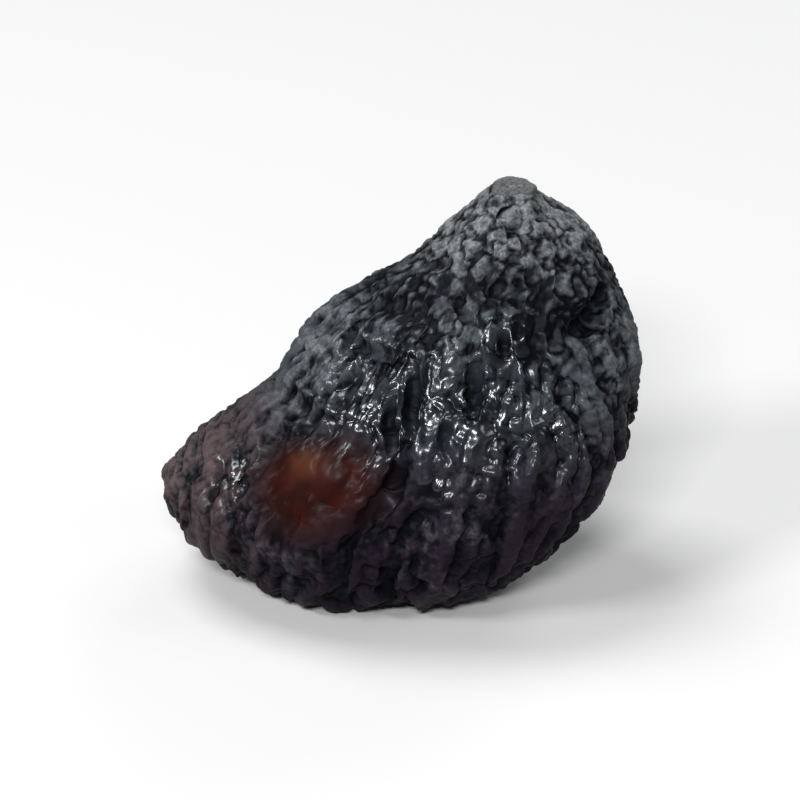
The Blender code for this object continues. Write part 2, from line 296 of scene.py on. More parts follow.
# %% Rib coordinates
RIB_SPACING = 2.5 * MM
RIB_TWIST = math.radians(75)
# How finely each pattern of noise repeats round the ball, and how far apart its ribs are, in noise cells.
RIB_PATTERNS = (1.2, 2.0, 3.3, 5.4, 8.9, 14.6)
NOISE_RIB_SPACING = 1.2
# Keeps a division from failing where a length is zero.
TINY = 1e-9


def untwisted(directions):
    """The directions with the turn of the neck taken out."""
    turn = RIB_TWIST * (1 - level_of(directions))
    x, y, z = directions.T
    return np.column_stack([x * np.cos(turn) + y * np.sin(turn), y * np.cos(turn) - x * np.sin(turn), z])


def direction_at(place):
    """The direction on the ball that belongs to a place on the fig."""
    azimuth, level = math.radians(place[0]), place[1]
    polar = math.pi * (1 - level)
    outward = math.sin(polar)
    return np.array([outward * math.cos(azimuth), outward * math.sin(azimuth), math.cos(polar)])


def meridians(directions):
    """(cosine, sine) of each rib's bearing, and 0 at the neck to 1 at the eye."""
    eye = untwisted(np.array([direction_at(EYE)]))[0]
    side = np.cross(eye, (0, 0, 1))
    side /= np.linalg.norm(side)
    up = np.cross(side, eye)

    def flat(d):
        return np.column_stack([d @ side, d @ up]) / np.maximum(1 - d @ eye, TINY)[:, None]

    ray = flat(untwisted(directions)) - flat(np.array([[0.0, 0.0, 1.0]]))
    reach = np.linalg.norm(ray, axis=1)
    bearing = ray / np.maximum(reach, TINY)[:, None]
    return np.column_stack([bearing, 2 / math.pi * np.arctan(reach / np.median(reach))])


def rib_patterns(mesh, points, ribs):
    """How many patterns up the list the ribs of each point come from, to keep their spacing."""
    ends = np.empty(len(mesh.edges) * 2, np.int32)
    mesh.edges.foreach_get("vertices", ends)
    one, other = ends.reshape(-1, 2).T
    length = np.linalg.norm(points[one] - points[other], axis=1)
    turn = ribs[one, 0] * ribs[other, 1] - ribs[one, 1] * ribs[other, 0]
    squared = (turn / length) ** 2
    rate = np.sqrt((np.bincount(one, squared) + np.bincount(other, squared)) / 2)
    wanted = NOISE_RIB_SPACING / (RIB_SPACING * np.maximum(rate, TINY))
    steps = np.log(np.array(RIB_PATTERNS))
    return np.interp(np.log(wanted), steps, np.arange(len(steps)))


def keep(mesh, name, kind, values):
    """Stores one value for each vertex under a name that node trees can read."""
    attribute = mesh.attributes.new(name, kind, "POINT")
    field = "vector" if kind == "FLOAT_VECTOR" else "value"
    attribute.data.foreach_set(field, values.astype(np.float32).ravel())


ribs = meridians(directions)
pattern = rib_patterns(skin_mesh, plain, ribs)
keep(skin_mesh, "meridian", "FLOAT_VECTOR", ribs)
keep(skin_mesh, "pattern", "FLOAT", pattern)
print("patterns in use:", pattern.min().round(1), "to", pattern.max().round(1))

# %% [markdown]
# ## Where the skin differs
# The skin isn't the same all over. One smooth patch on the cheek stretched tight and shows the red flesh.
# The middle was rubbed until it shines, while the neck and the right keep their grey bloom, and the left
# cheek and the underside are browner. The neck is pebbled, the left cheek is combed into pleats, and the
# folds and the lower body are painted darker as shade. Each of these is a share from 0 to 1, stored on the
# skin, so that the relief and the colour agree about where they are.

# %% Shares of calm, bloom, shine and brown
# Each list holds places with a radius in millimetres.
STEM_LEVEL = 0.90
PRESSED_LEVEL = 0.17
PRESSED_SMOOTH = 0.9
CALM_PLACES = (((243, 0.485), 1.7), ((233, 0.475), 2.3))
FLESH_PLACES = (((247, 0.485), 2.3), ((239, 0.455), 2.5), ((231, 0.48), 2.3))
# A lighter amber spot at the top of the flesh: partly its own colour, partly painted glow of light through
# it.
AMBER_AND_GLOW_PLACES = (((230, 0.507), 1.3),)
BLOOM_PLACES = (
    ((200, 0.66), 5.0), ((60, 0.62), 6.0), ((130, 0.60), 5.0), ((340, 0.68), 5.0), ((255, 0.73), 2.8),
)
FAINT_BLOOM_PLACES = (((311, 0.60), 5.5), ((190, 0.42), 5.0), ((20, 0.50), 6.0))
SOME_BLOOM = 0.6
FAINT_BLOOM = 0.28
# From this depth on, in millimetres, a fold gets painted shade: its bloom is taken off. Every crease does.
DEEP_FOLD = 0.8
FOLD_PAINTED_SHADE = 0.7
SHINY_PLACES = (
    ((236, 0.585), 3.4), ((212, 0.45), 1.6), ((255, 0.61), 3.8), ((273, 0.60), 3.6), ((275, 0.69), 2.2),
    ((215, 0.66), 1.6), ((298, 0.56), 2.0), ((257, 0.50), 1.6), ((270, 0.48), 1.4), ((82, 0.50), 3.4),
    ((112, 0.55), 3.0), ((30, 0.56), 2.6),
)
BROWN_PLACES = (((193, 0.42), 6.0), (EYE, 5.0), ((110, 0.34), 4.0))
COMBED_PLACES = (((192, 0.38), 6.5),)
PEBBLED_PLACES = (((311, 0.60), 6.0), ((200, 0.66), 4.0))
# Where the pleats begin and where they are full, as a value of the combed places.
COMBED_EDGE = (0.15, 0.60)
# The pleats run in planes that face sideways, so they end where the skin itself faces sideways.
SIDE_ON = (0.72, 0.90)
# Each pair is the level where a share begins and the level where it is full.
NECK_LEVELS = (0.62, 0.76)
BLOOM_LEVELS = (0.68, 0.86)
# Below these levels the crests are painted darker, with a purple cast, as shade on the lower body.
PAINTED_SHADE_LEVELS = (0.44, 0.62)


def strongest(points, places):
    """The nearness to the nearest of these places."""
    return np.max([nearness(points, place, radius * MM) for place, radius in places], axis=0)


def joined(points, places):
    """Like the strongest, but places that overlap run together."""
    return 1 - np.prod([1 - nearness(points, place, radius * MM) for place, radius in places], axis=0)


def eased(values, levels):
    """0 below the first level, 1 above the second, and a smooth step between them."""
    low, high = levels
    share = np.clip((values - low) / (high - low), 0, 1)
    return share * share * (3 - 2 * share)


calm = joined(plain, CALM_PLACES)
flesh = joined(plain, FLESH_PLACES)
neck = eased(level, NECK_LEVELS)
sideways = np.abs(normals(skin_mesh)[:, 0])
combed = eased(strongest(plain, COMBED_PLACES), COMBED_EDGE) * (1 - eased(sideways, SIDE_ON))
stem_share = np.clip(2 * (level - STEM_LEVEL) / (1 - STEM_LEVEL), 0, 1)
underside = 1 - np.clip(level / PRESSED_LEVEL, 0, 1)
# The deep folds and every crease get painted shade.
shaded_folds = [fold for fold in FOLDS if fold[2] >= DEEP_FOLD] + list(CREASES)
folded = np.max([fold_share(plain, path, width * MM) for path, width, depth in shaded_folds], axis=0)
bloom = np.maximum.reduce([
    eased(level, BLOOM_LEVELS),
    SOME_BLOOM * strongest(plain, BLOOM_PLACES),
    FAINT_BLOOM * strongest(plain, FAINT_BLOOM_PLACES),
])
shares = {
    "wrinkled": (1 - calm) * (1 - stem_share) * (1 - PRESSED_SMOOTH * underside),
    "calm": calm,
    "flesh": flesh,
    # The amber spot, partly painted glow.
    "amber": strongest(plain, AMBER_AND_GLOW_PLACES),
    "shine": strongest(plain, SHINY_PLACES) * (1 - calm) * (1 - flesh),
    "brown": strongest(plain, BROWN_PLACES),
    "combed": combed,
    "neck": neck,
    "pebbled": np.maximum(neck, strongest(plain, PEBBLED_PLACES)) * (1 - combed),
    # 0 where the lower body gets painted shade, 1 above it.
    "lit": eased(level, PAINTED_SHADE_LEVELS),
    # Painted shade in the folds, which also dulls the coat there.
    "folded": FOLD_PAINTED_SHADE * folded,
    "bloom": bloom,
}
for name, values in shares.items():
    keep(skin_mesh, name, "FLOAT", values)
print("mean shares:", {name: round(float(values.mean()), 2) for name, values in shares.items()})

# %% [markdown]
# ## Building node trees in a script
# A node tree is a recipe. Wiring one node at a time in Python is long, so a few small helpers carry the
# rest of the lesson: they add a node with its inputs, a sum, a vector sum, a noise or a hump, and they
# start a tree, end it, and run it on a mesh.

# %% Helpers for node trees
def add(tree, kind, inputs=(), output=0, **settings):
    """A node with its settings and inputs, given as (socket, value or output). Returns one output."""
    made = tree.nodes.new(kind)
    for name, value in settings.items():
        setattr(made, name, value)
    for socket, value in inputs:
        if isinstance(value, bpy.types.NodeSocket):
            tree.links.new(value, made.inputs[socket])
        else:
            made.inputs[socket].default_value = value
    return made.outputs[output]


def follow(kind, inputs, output=0, **settings):
    """A node added to the same tree that its inputs come from."""
    tree = next(value.id_data for socket, value in inputs if isinstance(value, bpy.types.NodeSocket))
    return add(tree, kind, inputs, output, **settings)


def maths(operation, *values, clamp=False):
    return follow("ShaderNodeMath", tuple(enumerate(values)), operation=operation, use_clamp=clamp)


def vectors(operation, *values):
    return follow("ShaderNodeVectorMath", tuple(enumerate(values)), operation=operation)


def noise(vector, scale, detail=0.0, output="Fac"):
    inputs = (("Vector", vector), ("Scale", scale), ("Detail", detail))
    return follow("ShaderNodeTexNoise", inputs, output, noise_dimensions="3D")


def hump(value, middle, width):
    """A smooth hump from 0 to 1 and back where the value passes its middle."""
    away = maths("DIVIDE", maths("SUBTRACT", value, middle), width)
    return maths("EXPONENT", maths("MULTIPLY", maths("MULTIPLY", away, away), -1.0))


def stored(tree, name, kind="FLOAT"):
    """A value that is stored on the mesh, read by a geometry tree."""
    return add(tree, "GeometryNodeInputNamedAttribute", (("Name", name),), data_type=kind)


def new_geometry_tree(name, inputs):
    """An empty tree with inputs for geometry and material and the named ones, and those inputs."""
    tree = bpy.data.node_groups.new(name, "GeometryNodeTree")
    tree.interface.new_socket("Geometry", in_out="OUTPUT", socket_type="NodeSocketGeometry")
    for socket, kind in {"Geometry": "Geometry", **inputs, "Material": "Material"}.items():
        tree.interface.new_socket(socket, in_out="INPUT", socket_type="NodeSocket" + kind)
    group = tree.nodes.new("NodeGroupInput")
    return tree, {socket.name: socket for socket in group.outputs if socket.name}


def finish_tree(tree, geometry, material):
    """Makes every copy real, paints it and hands it to the output."""
    real = add(tree, "GeometryNodeRealizeInstances", (("Geometry", geometry),))
    painted = add(tree, "GeometryNodeSetMaterial", (("Geometry", real), ("Material", material)))
    tree.links.new(painted, tree.nodes.new("NodeGroupOutput").inputs[0])


def linked(name, data):
    """A new object with this mesh, lamp or camera, linked to the scene."""
    thing = bpy.data.objects.new(name, data)
    bpy.context.scene.collection.objects.link(thing)
    return thing


def run_tree(mesh, tree, values):
    """The mesh that the tree makes of this one, as a plain new mesh."""
    holder = linked(mesh.name, mesh)
    modifier = holder.modifiers.new(tree.name, "NODES")
    modifier.node_group = tree
    sockets = {item.name: item.identifier for item in tree.interface.items_tree if item.in_out == "INPUT"}
    for name, value in values.items():
        modifier[sockets[name]] = value
    evaluated = holder.evaluated_get(bpy.context.evaluated_depsgraph_get())
    made = bpy.data.meshes.new_from_object(evaluated)
    bpy.data.objects.remove(holder)
    return made


print("helpers ready")

# %% [markdown]
# ## Mixing by shares
# Relief and colour both follow the shares, so both need the same few steps: stretch a share, multiply some,
# add some, take the rest of one, and mix two colours by one.

# %% Helpers for shares and materials
def new_material(name, roughness=0.5):
    """A new material with its shader node."""
    material = bpy.data.materials.new(name)
    material.use_nodes = True
    shader = material.node_tree.nodes["Principled BSDF"]
    shader.inputs["Roughness"].default_value = roughness
    return material, shader


def surface_share(tree, name):
    """A share that is stored on the skin, read by a material."""
    return add(tree, "ShaderNodeAttribute", output="Fac", attribute_name=name)


def mixed(share, one, other):
    """One colour turning into the other as the share goes from 0 to 1."""
    inputs = ((0, share), (6, one), (7, other))
    return follow("ShaderNodeMix", inputs, 2, data_type="RGBA")


def ramp(value, low, high):
    """The value stretched so that low becomes 0 and high becomes 1."""
    inputs = (("Value", value), ("From Min", low), ("From Max", high))
    return follow("ShaderNodeMapRange", inputs, interpolation_type="SMOOTHSTEP")


def product(*values):
    return reduce(lambda one, other: maths("MULTIPLY", one, other), values)


def total(*values):
    return reduce(lambda one, other: maths("ADD", one, other), values)


def rest_of(share):
    return maths("SUBTRACT", 1.0, share)


print("share helpers ready")

# %% [markdown]
# ## Skin colour
# The skin is nearly black with a violet cast. What we call its colour is mostly bloom, the pale waxy dust
# that stays on the crests and is rubbed off where the fig shines. So the colour is mixed by height: near
# black in the valleys as painted shade, grey blue on the crests, browner on the cheek, and red inside a dark
# stain where the flesh shows through. The lower body and the folds are painted darker too, as shade, and the
# flesh has an amber spot that is partly painted glow. Dry skin hardly reflects, so the gloss is a clear coat
# that lies only on the rubbed crests. Fine grain comes from a bump, since it is smaller than a mesh cell.

# %% Skin material
# Painted shade: the valleys take a near black colour, far darker than the crests.
PAINTED_SHADE_VALLEY_COLOUR = (0.0009, 0.0010, 0.0022, 1.0)
CREST_COLOUR = (0.0190, 0.0232, 0.0275, 1.0)
# Painted shade: the darker purple crest colour low on the body.
PAINTED_SHADE_LOW_COLOUR = (0.0090, 0.0052, 0.0096, 1.0)
BLOOM_COLOUR = (0.1550, 0.1570, 0.1570, 1.0)
BROWN_COLOUR = (0.0580, 0.0365, 0.0340, 1.0)
FLESH_COLOUR = (0.0160, 0.0018, 0.0010, 1.0)
DEEP_FLESH_COLOUR = (0.0060, 0.0012, 0.0008, 1.0)
# Partly the flesh's own amber, partly painted glow of light shining through it.
AMBER_AND_GLOW_COLOUR = (0.0420, 0.0125, 0.0055, 1.0)
STAIN_COLOUR = (0.0130, 0.0040, 0.0036, 1.0)
# The size and the detail of each noise that breaks the colours up.
SKIN_NOISES = {
    "patches": (4.5 * MM, 2.0),
    "veins": (1.8 * MM, 1.0),
    "glints": (1.3 * MM, 1.0),
    "speckle": (0.7 * MM, 4.0),
    "fine": (0.22 * MM, 2.0),
    "grain": (0.30 * MM, 3.0),
}
# The most that a colour covers of the ones below it.
MOST_BLOOM = 0.9
MOST_BROWN = 0.85
MOST_STAIN = 0.65
MOST_VEINS = 0.6
# Where each effect begins and where it is full, as a height of the relief from 0 to 1.
LIFTED_CREST = (0.40, 0.85)
DUSTED_CREST = (0.40, 0.90)
RUBBED_CREST = (0.36, 0.64)
# The same for values of the noises and of the shares.
STRAY_PATCHES = (0.50, 0.66)
SPECKS = (0.36, 0.66)
FINE_SPECKS = (0.25, 0.75)
VEINS = (0.42, 0.66)
GLINTS = (0.36, 0.54)
STAINED_FLESH = (0.0, 0.40)
BARE_FLESH = (0.35, 0.85)
FACING_UP = (0.0, 0.3)
DULL_FOLD = (0.1, 0.5)
STRAY_BLOOM = 0.25
THICK_BLOOM = 0.5
SUNK_BLOOM = 0.25
FINEST_BLOOM = 0.35
RUBBED_DARK = 0.9
RAGGED_EDGE = 0.4
SKIN_ROUGHNESS = 0.48
BLOOM_ROUGHNESS = 0.30
SPECKLE_ROUGHNESS = 0.25
CALM_GLOSS = 0.02
GLOSS_SMOOTHNESS = 0.7
GRAIN_HEIGHT = 0.035 * MM
SKIN_CONSTANTS = {"IOR": 1.45, "Specular IOR Level": 0.05, "Coat Roughness": 0.23, "Coat IOR": 1.6}


def skin_dust(share, noises):
    """How much bloom lies at each point: specks on crests, none where rubbed off, none in folds as painted
    shade.
    """
    stray = product(ramp(noises["patches"], *STRAY_PATCHES), STRAY_BLOOM)
    spread = maths("ADD", share["bloom"], stray, clamp=True)
    thicker = product(share["bloom"], THICK_BLOOM)
    specks = maths("ADD", ramp(noises["speckle"], *SPECKS), thicker, clamp=True)
    raised = total(share["crest"], product(share["bloom"], SUNK_BLOOM))
    finest = product(ramp(noises["fine"], *FINE_SPECKS), 1 - FINEST_BLOOM)
    grainy = total(FINEST_BLOOM, finest)
    dust = product(ramp(raised, *DUSTED_CREST), specks, spread, grainy)
    # Painted shade: no bloom in the folds, so they stay dark.
    left = [rest_of(share[name]) for name in ("shine", "calm", "folded")]
    return product(dust, *left)


def skin_colour(share, noises, dust):
    """The colours, one over the other: valleys in painted shade, crests, bloom, brown, stain and flesh."""
    # Low on the body the crests take the painted shade colour.
    crest_colour = mixed(share["lit"], PAINTED_SHADE_LOW_COLOUR, CREST_COLOUR)
    unrubbed = rest_of(product(share["shine"], RUBBED_DARK))
    # The valleys are painted near black as shade, and the crests keep their own tone.
    lifted = product(ramp(share["crest"], *LIFTED_CREST), unrubbed)
    colour = mixed(lifted, PAINTED_SHADE_VALLEY_COLOUR, crest_colour)
    colour = mixed(product(dust, MOST_BLOOM), colour, BLOOM_COLOUR)
    browned = product(share["brown"], ramp(share["crest"], *DUSTED_CREST), MOST_BROWN)
    colour = mixed(browned, colour, BROWN_COLOUR)
    stained = product(ramp(share["flesh"], *STAINED_FLESH), MOST_STAIN)
    colour = mixed(stained, colour, STAIN_COLOUR)
    veined = product(ramp(noises["veins"], *VEINS), MOST_VEINS)
    # The amber spot is partly painted glow.
    flesh_colour = mixed(share["amber"], FLESH_COLOUR, AMBER_AND_GLOW_COLOUR)
    flesh_colour = mixed(veined, flesh_colour, DEEP_FLESH_COLOUR)
    ragged = product(maths("SUBTRACT", noises["veins"], 0.5), RAGGED_EDGE)
    bare = ramp(total(share["flesh"], ragged), *BARE_FLESH)
    return mixed(bare, colour, flesh_colour)


def skin_gloss(share, noises):
    """The weight of the clear coat: on rubbed crests that face up, with a trace on the calm patch."""
    crests = ramp(share["crest"], *RUBBED_CREST)
    glints = ramp(noises["glints"], *GLINTS)
    upward = ramp(share["upward"], *FACING_UP)
    dull = ramp(share["folded"], *DULL_FOLD)
    rubbed = product(share["shine"], crests, glints, upward, rest_of(dull))
    return maths("MAXIMUM", rubbed, product(share["calm"], CALM_GLOSS))


def skin_material():
    material, shader = new_material("dried skin")
    tree = material.node_tree
    place = add(tree, "ShaderNodeTexCoord", output="Object")
    names = ("crest", "calm", "shine", "brown", "flesh", "amber", "lit", "bloom", "upward", "folded")
    share = {name: surface_share(tree, name) for name in names}
    noises = {name: noise(place, 1 / size, detail) for name, (size, detail) in SKIN_NOISES.items()}

    dust = skin_dust(share, noises)
    tree.links.new(skin_colour(share, noises, dust), shader.inputs["Base Color"])
    uneven = product(maths("SUBTRACT", noises["speckle"], 0.5), SPECKLE_ROUGHNESS)
    rough = total(SKIN_ROUGHNESS, product(dust, BLOOM_ROUGHNESS), uneven)
    tree.links.new(rough, shader.inputs["Roughness"])
    tree.links.new(skin_gloss(share, noises), shader.inputs["Coat Weight"])
    for socket, value in SKIN_CONSTANTS.items():
        shader.inputs[socket].default_value = value

    smooth = maths("MAXIMUM", share["calm"], product(share["shine"], GLOSS_SMOOTHNESS))
    grain = product(noises["grain"], rest_of(smooth))
    bumps = (("Height", grain), ("Distance", GRAIN_HEIGHT), ("Strength", 1.0))
    tree.links.new(add(tree, "ShaderNodeBump", bumps), shader.inputs["Normal"])
    return material


SKIN = skin_material()
print("skin material nodes:", len(SKIN.node_tree.nodes))

# %% [markdown]
# ## Wrinkling the skin
# Noise passes its middle value along winding lines. A smooth hump round that value turns each line into a
# rib, and a sharp spike turns it into a crease. Noise that is stretched along the meridians gives lines
# that run from stem to eye, fork, and leave lens-shaped pits, as drying skin does. We lay coarse ribs
# first, then cords with sharp creases between them on the new surface, because small wrinkles sit on the
# sides of large ones. The left cheek gets straight pleats in place of cords, and the neck rounded pebbles.

# %% Ribs, cords, pleats and pebbles
# How often the noise repeats between stem and eye. More often makes shorter ribs and cords.
RIB_STARTS = 3.5
CORD_STARTS = 9.0
PATTERN_OVERLAP = 0.85
RIB_HALF_WIDTH = 0.16
RIB_WANDER = 0.9
RIB_WANDER_SIZE = 5.0 * MM
SWELL_SIZE = 9.0 * MM
CORD_STEP = 0.45
COMBED_STEP = 0.7
CORD_WANDER = 0.6
CORD_WANDER_SIZE = 1.5 * MM
CORD_PATTERNS = RIB_PATTERNS + (24.0,)
CORD_CREASE_WIDTH = 0.10
SHINY_CREASE_WIDTH = 0.12
PLEAT_WIDTH = 0.80 * MM
PLEAT_LENGTH = 9.0 * MM
PEBBLE_SIZES = (1.3 * MM, 0.75 * MM)
PEBBLE_CREASE_WIDTH = 0.07
# Where the noises of the ribs and of the cords begin, so that they differ, and how far apart patterns lie.
RIB_SEED = 0.0
CORD_SEED = 5.0
PATTERN_GAP = 10.0


def crease(value, middle, width):
    """A sharp spike, 1 where the value passes its middle, that falls away on both sides."""
    away = maths("ABSOLUTE", maths("SUBTRACT", value, middle))
    return maths("EXPONENT", maths("MULTIPLY", maths("DIVIDE", away, width), -1.0))


def line_layer(patterns, meridian, wander, pattern, starts, line, width, seed):
    """The strongest of all patterns at each point, as lines from 0 to 1 along the meridians."""
    lines = 0.0
    for number, around in enumerate(patterns):
        stretched = vectors("MULTIPLY", meridian, (around, around, starts))
        wandering = vectors("ADD", stretched, wander)
        placed = vectors("ADD", wandering, (0.0, 0.0, PATTERN_GAP * number + seed))
        along = line(noise(placed, 1.0), 0.5, width)
        along = maths("MULTIPLY", along, hump(pattern, float(number), PATTERN_OVERLAP))
        lines = maths("MAXIMUM", lines, along)
    return lines


def wander_by(position, size, amount, detail):
    """A smooth random drift of up to half the amount each way."""
    drift = vectors("SUBTRACT", noise(position, 1 / size, detail, "Color"), (0.5, 0.5, 0.5))
    return vectors("MULTIPLY", drift, (amount, amount, amount))


def pleats(position, wander):
    """Pleats from 0 to 1 that climb straight over the cheek, with sharp creases between them."""
    drawn = vectors("MULTIPLY", position, (1 / PLEAT_WIDTH, 1 / PLEAT_LENGTH, 1 / PLEAT_LENGTH))
    drawn = vectors("ADD", drawn, wander)
    return rest_of(crease(noise(drawn, 1.0), 0.5, CORD_CREASE_WIDTH))


def cords(position, meridian, wander, share):
    """Cords from 0 to 1 with sharp creases between them, and pleats where the skin is combed."""
    shine, combed = share["shine"], share["combed"]
    step = total(product(rest_of(shine), CORD_STEP), product(combed, COMBED_STEP))
    finer = total(share["pattern"], step)
    wider = product(shine, SHINY_CREASE_WIDTH - CORD_CREASE_WIDTH)
    width = total(CORD_CREASE_WIDTH, wider)
    wavy = vectors("ADD", wander, wander_by(position, CORD_WANDER_SIZE, CORD_WANDER, 0.0))
    creases = line_layer(CORD_PATTERNS, meridian, wavy, finer, CORD_STARTS, crease, width, CORD_SEED)
    corded = product(rest_of(creases), rest_of(combed))
    return total(corded, product(pleats(position, wander), combed))


def pebbles(position, size):
    """Rounded pebbles from 0 to 1 with narrow creases between them."""
    warped = vectors("ADD", position, (size, 2 * size, 3 * size))
    return rest_of(hump(noise(warped, 1 / size, 1.0), 0.5, PEBBLE_CREASE_WIDTH))


print("rib patterns:", len(RIB_PATTERNS), "cord patterns:", len(CORD_PATTERNS))

# %% [markdown]
# ## Putting the layers on
# Each layer has its own depth, and each kind of skin its own mix of layers: few ribs among the pleats, few
# cords on the neck. The tree also stores how high each point lies in the relief, since the colour follows
# that. Ribs are carved first, then the finer layers are pushed out of the carved skin.

# %% Wrinkle tree
WRINKLE_SIZES = {
    "Rib Depth": 0.75 * MM,
    "Swell Height": 0.9 * MM,
    "Cord Depth": 0.75 * MM,
    "Pebble Depth": 0.16 * MM,
    "Small Pebble Depth": 0.07 * MM,
}
# How much of each layer is missing on the neck, among the pleats and in the shiny middle.
NECK_WITHOUT_RIBS = 0.65
NECK_WITHOUT_CORDS = 0.8
PLEATS_WITHOUT_RIBS = 0.7
PLEATS_WITHOUT_CORDS = 0.15
PLEATS_WITHOUT_PEBBLES = 0.9
SHINE_WITHOUT_SMALL_PEBBLES = 0.6
FEWEST_PEBBLES = 0.35
SHINY_PEBBLES = 0.5
# How much ribs, cords, pebbles and small pebbles add to the height that the colours follow.
CREST_PARTS = (0.35, 0.40, 0.35, 0.20)
# The mean height of two layers, which is taken off so that the skin keeps its size.
MEAN_CORDS = 0.65
MEAN_PEBBLES = 0.5
# Nothing may lie lower. The first two numbers are too far out to matter.
LOWEST_PLACE = (-1.0, -1.0, 0.0)


def without(*lost):
    """What is left of a layer after each share has taken its part of it."""
    return rest_of(total(*(product(share, part) for share, part in lost)))


def pushed(tree, geometry, height):
    """The geometry moved out along its normals by a height."""
    normal = add(tree, "GeometryNodeInputNormal")
    offset = add(tree, "ShaderNodeVectorMath", ((0, normal), ("Scale", height)), operation="SCALE")
    return add(tree, "GeometryNodeSetPosition", (("Geometry", geometry), ("Offset", offset)))


def remember(geometry, name, value):
    """The geometry with one more value stored at each vertex."""
    inputs = (("Geometry", geometry), ("Name", name), ("Value", value))
    return follow("GeometryNodeStoreNamedAttribute", inputs, data_type="FLOAT", domain="POINT")


def wrinkle_tree():
    tree, given = new_geometry_tree("fig wrinkles", dict.fromkeys(WRINKLE_SIZES, "Float"))
    position = add(tree, "GeometryNodeInputPosition")
    meridian = stored(tree, "meridian", "FLOAT_VECTOR")
    names = ("pattern", "wrinkled", "pebbled", "combed", "neck", "shine")
    share = {name: stored(tree, name) for name in names}
    wrinkled, combed, neck, shine = (share[name] for name in ("wrinkled", "combed", "neck", "shine"))

    wander = wander_by(position, RIB_WANDER_SIZE, RIB_WANDER, 1.0)
    ribs = line_layer(
        RIB_PATTERNS, meridian, wander, share["pattern"], RIB_STARTS, hump, RIB_HALF_WIDTH, RIB_SEED
    )
    large, small = (pebbles(position, size) for size in PEBBLE_SIZES)

    rib_share = without((neck, NECK_WITHOUT_RIBS), (combed, PLEATS_WITHOUT_RIBS))
    cord_share = without((neck, NECK_WITHOUT_CORDS), (combed, PLEATS_WITHOUT_CORDS))
    pebble_share = total(FEWEST_PEBBLES, product(share["pebbled"], 1 - FEWEST_PEBBLES))
    pebble_share = product(pebble_share, without((combed, PLEATS_WITHOUT_PEBBLES)))
    pebble_share = total(pebble_share, product(shine, SHINY_PEBBLES))
    corded = product(cords(position, meridian, wander, share), cord_share)
    pebbled = product(large, pebble_share)

    seen_ribs = total(product(ribs, rib_share), product(combed, PLEATS_WITHOUT_RIBS))
    seen = zip((seen_ribs, corded, pebbled, small), CREST_PARTS)
    crest = total(*(product(layer, part) for layer, part in seen))
    skin = remember(given["Geometry"], "crest", crest)

    shine_smooth = product(shine, SHINE_WITHOUT_SMALL_PEBBLES)
    smoother = maths("MAXIMUM", shine_smooth, product(combed, PLEATS_WITHOUT_PEBBLES))
    small_depth = product(given["Small Pebble Depth"], rest_of(smoother))
    layers = ((corded, given["Cord Depth"]), (pebbled, given["Pebble Depth"]), (small, small_depth))
    detail = total(*(product(layer, depth) for layer, depth in layers))
    skin = remember(skin, "detail", product(detail, wrinkled))

    carved = product(maths("SUBTRACT", ribs, 1.0), given["Rib Depth"], rib_share, wrinkled)
    swell = maths("SUBTRACT", noise(position, 1 / SWELL_SIZE, 1.0), 0.5)
    swell = product(swell, given["Swell Height"], 2.0)
    skin = pushed(tree, skin, total(carved, swell))

    means = ((given["Cord Depth"], MEAN_CORDS), (given["Pebble Depth"], MEAN_PEBBLES))
    average = total(*(product(depth, part) for depth, part in means))
    average = product(average, wrinkled)
    skin = pushed(tree, skin, maths("SUBTRACT", stored(tree, "detail"), average))

    rested = vectors("MAXIMUM", position, LOWEST_PLACE)
    skin = add(tree, "GeometryNodeSetPosition", (("Geometry", skin), ("Position", rested)))
    normal = add(tree, "GeometryNodeInputNormal")
    skin = remember(skin, "upward", add(tree, "ShaderNodeSeparateXYZ", ((0, normal),), "Z"))
    finish_tree(tree, skin, given["Material"])
    return tree


WRINKLES = wrinkle_tree()
print("wrinkle tree nodes:", len(WRINKLES.nodes))

# %% [markdown]
# ## The skin itself
# The tree is only a recipe, so now we run it on the ball that was pressed into a fig. We keep the result as
# a plain mesh, move it onto the origin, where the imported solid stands, and let it take the solid's place.

# %% Grow the skin
skin_mesh = run_tree(skin_mesh, WRINKLES, {**WRINKLE_SIZES, "Material": SKIN})
skin_points = coordinates(skin_mesh) - BOX_MIDDLE
set_coordinates(skin_mesh, skin_points)
skin_mesh.shade_smooth()
fig_skin = linked("fig_skin", skin_mesh)
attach(fig_skin, "root")
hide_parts("fig")
print("skin, mm:", (np.ptp(skin_points, axis=0) / MM).round(2))

# %% [markdown]
# ## The cut stem
# Where the fig was cut from its branch, a dry woody end is left: a small disc, a little hollow, with fibres
# that run out from its middle and one crack where it shrank. It starts as the same kind of ball as the
# skin, pressed flat, so it's closed all round and has no pole.

# %% Stem end
STEM_END_RADIUS = 1.45 * MM
STEM_END_HALF_HEIGHT = 0.40 * MM
STEM_END_RISE = -0.27 * MM
STEM_END_TILT = math.radians(-2)
STEM_END_CELLS = 30
STEM_COLOUR = (0.050, 0.049, 0.048, 1.0)
# The dark tone serves the fibres, and also the painted shade where the chip lies low.
STEM_DARK_COLOUR = (0.015, 0.014, 0.014, 1.0)
STEM_ROUGHNESS = 0.85
FIBRES = 23
FIBRE_HEIGHT = 0.10
FIBRE_SIZE = 0.25 * MM
FIBRE_SPREAD = (0.35, 0.65)
FIBRE_BUMP = 0.04 * MM
# Heights and widths on the chip are parts of its half height and of its radius.
FACE_HOLLOW = 0.35
FACE_HOLLOW_WIDTH = 0.6
CRACK_DEPTH = 0.9
CRACK_WIDTH = 0.10
CRACK_LENGTH = 0.6
EDGE_WAVE = 0.07
EDGE_RIPPLE = 0.04


